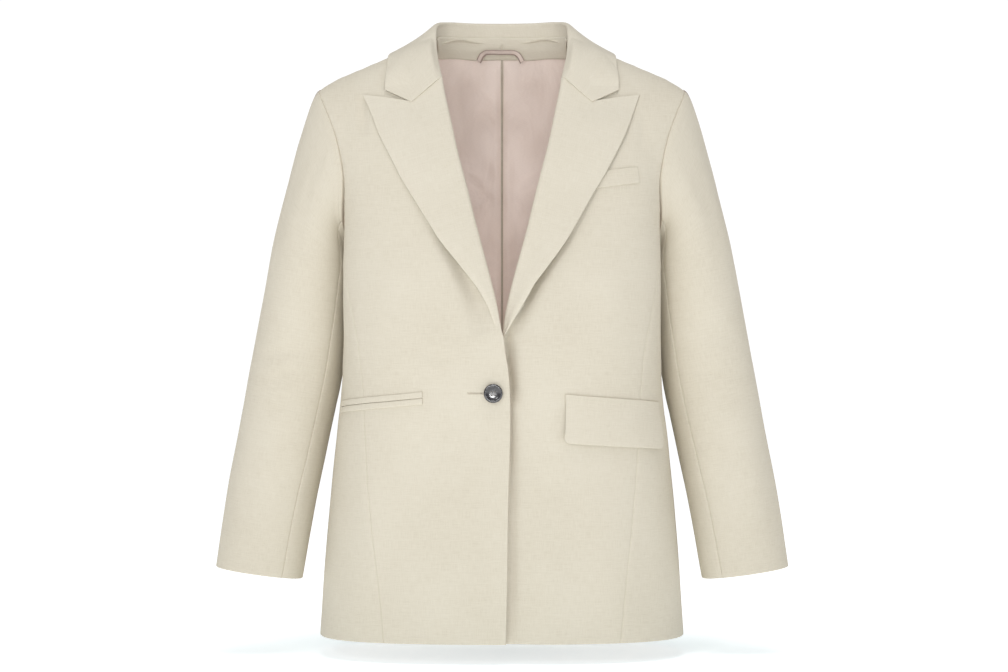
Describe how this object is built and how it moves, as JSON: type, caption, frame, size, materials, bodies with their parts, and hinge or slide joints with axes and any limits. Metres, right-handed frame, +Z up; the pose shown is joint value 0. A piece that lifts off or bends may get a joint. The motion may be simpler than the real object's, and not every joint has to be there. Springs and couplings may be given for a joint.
{
  "type": "single breasted blazer",
  "caption": "Hollow single breasted blazer with peaked lapels, long two-piece sleeves, a flapped hip pocket, a jetted hip pocket and a chest welt, filled out as worn.",
  "frame": {"origin": "on the middle plane, level with the neck end of the shoulder seams, where the wearer's neck and shoulders hold it", "axes": "+Z up, the front faces -Y, the wearer's left is +X"},
  "size_m": [0.6816, 0.2592, 0.7373],
  "materials": {
    "cloth": "matt slubbed weave",
    "lining": "satin",
    "horn": "polished",
    "thread": "matt"
  },
  "bodies": {
    "root": {"front_right": "cloth", "front_left": "cloth", "side_right": "cloth", "side_left": "cloth", "back_right": "cloth", "back_left": "cloth", "top_sleeve_right": "cloth", "top_sleeve_left": "cloth", "under_sleeve_right": "cloth", "under_sleeve_left": "cloth", "lapel_right": "cloth", "lapel_left": "cloth", "collar": "cloth", "neck_facing": "cloth", "chest_welt": "cloth", "jet_upper_right": "cloth", "jet_lower_right": "cloth", "flap_left": "cloth", "lining_right": "lining", "lining_left": "lining", "hanging_loop": "lining", "button": "horn", "button_thread": "thread"}
  },
  "joints": []
}
